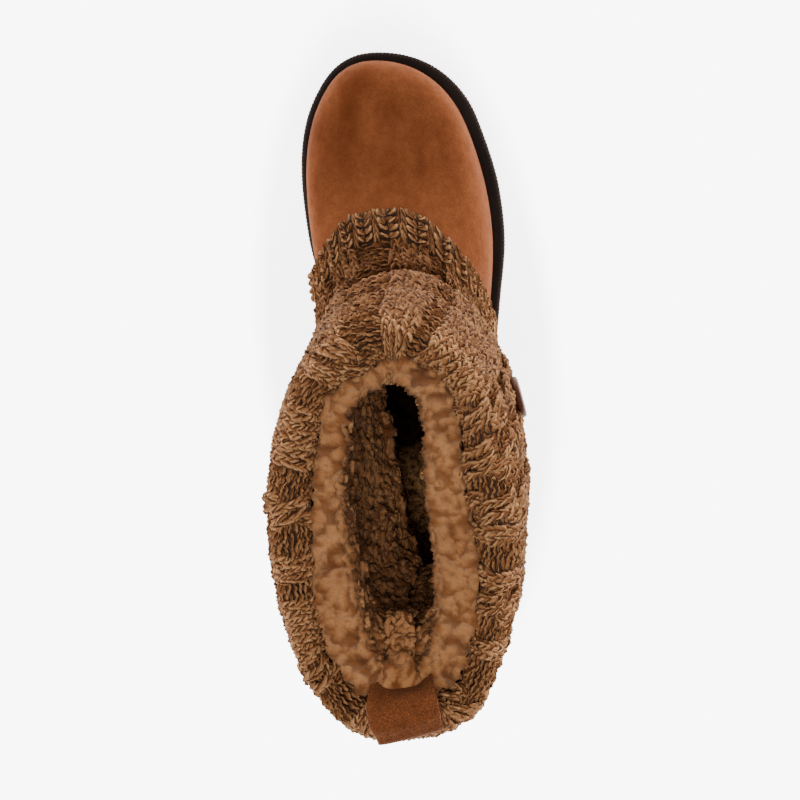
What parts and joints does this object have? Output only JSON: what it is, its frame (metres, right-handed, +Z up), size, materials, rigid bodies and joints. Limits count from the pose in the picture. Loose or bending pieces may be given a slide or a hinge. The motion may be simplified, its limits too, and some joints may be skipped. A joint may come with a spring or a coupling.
{
  "type": "knit-shaft ankle boot",
  "caption": "Right ankle boot with a suede foot, a cable-knit sleeve shaft, a curly fleece lining, a suede pull loop, a round side button and a moulded wedge sole.",
  "frame": {"origin": "middle of the heel's flat ground face", "axes": "+Y from heel to toe, +X to the outer side of the right foot, +Z up"},
  "size_m": [0.1114, 0.2887, 0.2389],
  "materials": {
    "sole_rubber": "matt moulded rubber with a ribbed side band",
    "footbed": "short pile footbed",
    "suede": "napped suede",
    "marled_knit": "thick cable knit of marled tan and dark brown yarn",
    "fleece": "curly camel fleece",
    "loop_suede": "napped suede with raw edges",
    "button_brown": "satin reddish-brown button"
  },
  "bodies": {
    "root": {"outsole": "sole_rubber", "insole": "footbed", "foot_upper": "suede", "knit_shaft": "marled_knit", "fleece_lining": "fleece", "pull_loop": "loop_suede", "button": "button_brown"}
  },
  "joints": []
}
